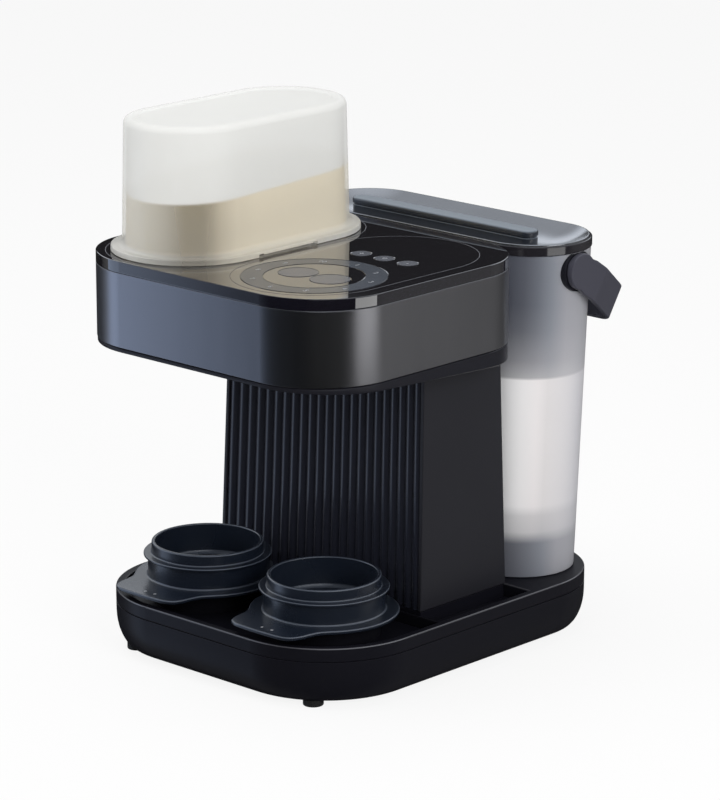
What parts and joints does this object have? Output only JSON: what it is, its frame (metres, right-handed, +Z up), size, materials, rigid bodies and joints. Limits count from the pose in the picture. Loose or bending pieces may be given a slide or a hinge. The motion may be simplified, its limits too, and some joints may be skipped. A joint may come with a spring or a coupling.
{
  "type": "baby formula maker",
  "caption": "Countertop baby formula maker with a powder container on its head, a lift-off water tank with a bail handle, and sliding bottle stands over a drip tray.",
  "frame": {"origin": "on the counter, under the middle of the machine's outer box", "axes": "+Z up, +Y from the bottle stands to the water tank, +X to the right as seen from the front"},
  "size_m": [0.2104, 0.2723, 0.3203],
  "materials": {
    "metallic_grey": "metallic paint, satin",
    "gloss_black": "high gloss",
    "satin_grey": "satin",
    "dark_plastic": "fine matt",
    "stand_grey": "satin",
    "print_grey": "printed",
    "frosted_clear": "frosted, translucent",
    "milky_clear": "milky, translucent",
    "inner_white": "plain",
    "rubber": "matt",
    "steel": "plain",
    "circuit_board": "lacquered"
  },
  "bodies": {
    "machine": {"base_tub": "gloss_black", "base_deck": "gloss_black", "rubber_feet": "rubber", "base_screws": "steel", "mains_gland": "rubber", "column_foot": "gloss_black", "column_cover": "satin_grey", "splash_panel": "gloss_black", "power_board": "circuit_board", "water_pump": "dark_plastic", "water_heater": "steel", "suction_hose": "inner_white", "transfer_hose": "inner_white", "delivery_hose": "inner_white", "head_undercover": "dark_plastic", "head_band": "metallic_grey", "top_panel": "gloss_black", "dial_ring": "print_grey", "touch_pads": "print_grey", "touch_board": "circuit_board", "head_screws": "steel", "water_spout": "dark_plastic", "powder_chute": "inner_white", "gear_motor": "dark_plastic", "tank_dock": "inner_white", "dock_seal": "rubber"},
    "drive": {"drive_dog": "steel"},
    "tray": {"drip_tray": "dark_plastic"},
    "stand_left": {"bottle_stand_left": "stand_grey"},
    "stand_right": {"bottle_stand_right": "stand_grey"},
    "container": {"powder_container": "milky_clear", "container_base": "inner_white", "container_seal": "rubber"},
    "rotor": {"dosing_rotor": "inner_white"},
    "tank": {"water_tank": "frosted_clear", "bail_bosses": "dark_plastic", "valve_cage": "inner_white", "valve_spring": "steel"},
    "lid": {"tank_lid": "satin_grey", "lid_grip": "dark_plastic", "lid_seal": "rubber"},
    "bail": {"bail_handle": "dark_plastic"},
    "valve": {"tank_valve": "inner_white"}
  },
  "joints": [
    {"name": "tray_lift", "type": "slide", "parent": "machine", "child": "tray", "axis": [0, 0, 1], "range_m": [0, 0.06]},
    {"name": "stand_left_slide", "type": "slide", "parent": "tray", "child": "stand_left", "axis": [0, -1, 0], "range_m": [0, 0.115]},
    {"name": "stand_right_slide", "type": "slide", "parent": "tray", "child": "stand_right", "axis": [0, -1, 0], "range_m": [0, 0.115]},
    {"name": "container_lift", "type": "slide", "parent": "machine", "child": "container", "axis": [0, 0, 1], "range_m": [0, 0.09]},
    {"name": "drive_spin", "type": "hinge", "parent": "machine", "child": "drive", "pos_m": [-0.0476, -0.049, 0.24], "axis": [0, 0, 1], "continuous": true},
    {"name": "rotor_spin", "type": "hinge", "parent": "container", "child": "rotor", "pos_m": [-0.0476, -0.049, 0.247], "axis": [0, 0, 1], "continuous": true},
    {"name": "tank_lift", "type": "slide", "parent": "machine", "child": "tank", "axis": [0, 0, 1], "range_m": [0, 0.21]},
    {"name": "lid_lift", "type": "slide", "parent": "tank", "child": "lid", "axis": [0, 0, 1], "range_m": [0, 0.03]},
    {"name": "bail_swing", "type": "hinge", "parent": "tank", "child": "bail", "pos_m": [0, 0.08375, 0.2238], "axis": [-1, 0, 0], "range_deg": [-123, 0]},
    {"name": "valve_close", "type": "slide", "parent": "tank", "child": "valve", "axis": [0, 0, 1], "range_m": [-0.0028, 0], "deforming": ["valve_spring"]}
  ],
  "couplings": [
    {"joint": "drive_spin", "follows": "rotor_spin", "ratio": 1},
    {"joint": "valve_close", "follows": "tank_lift", "ratio": -0.013333}
  ]
}
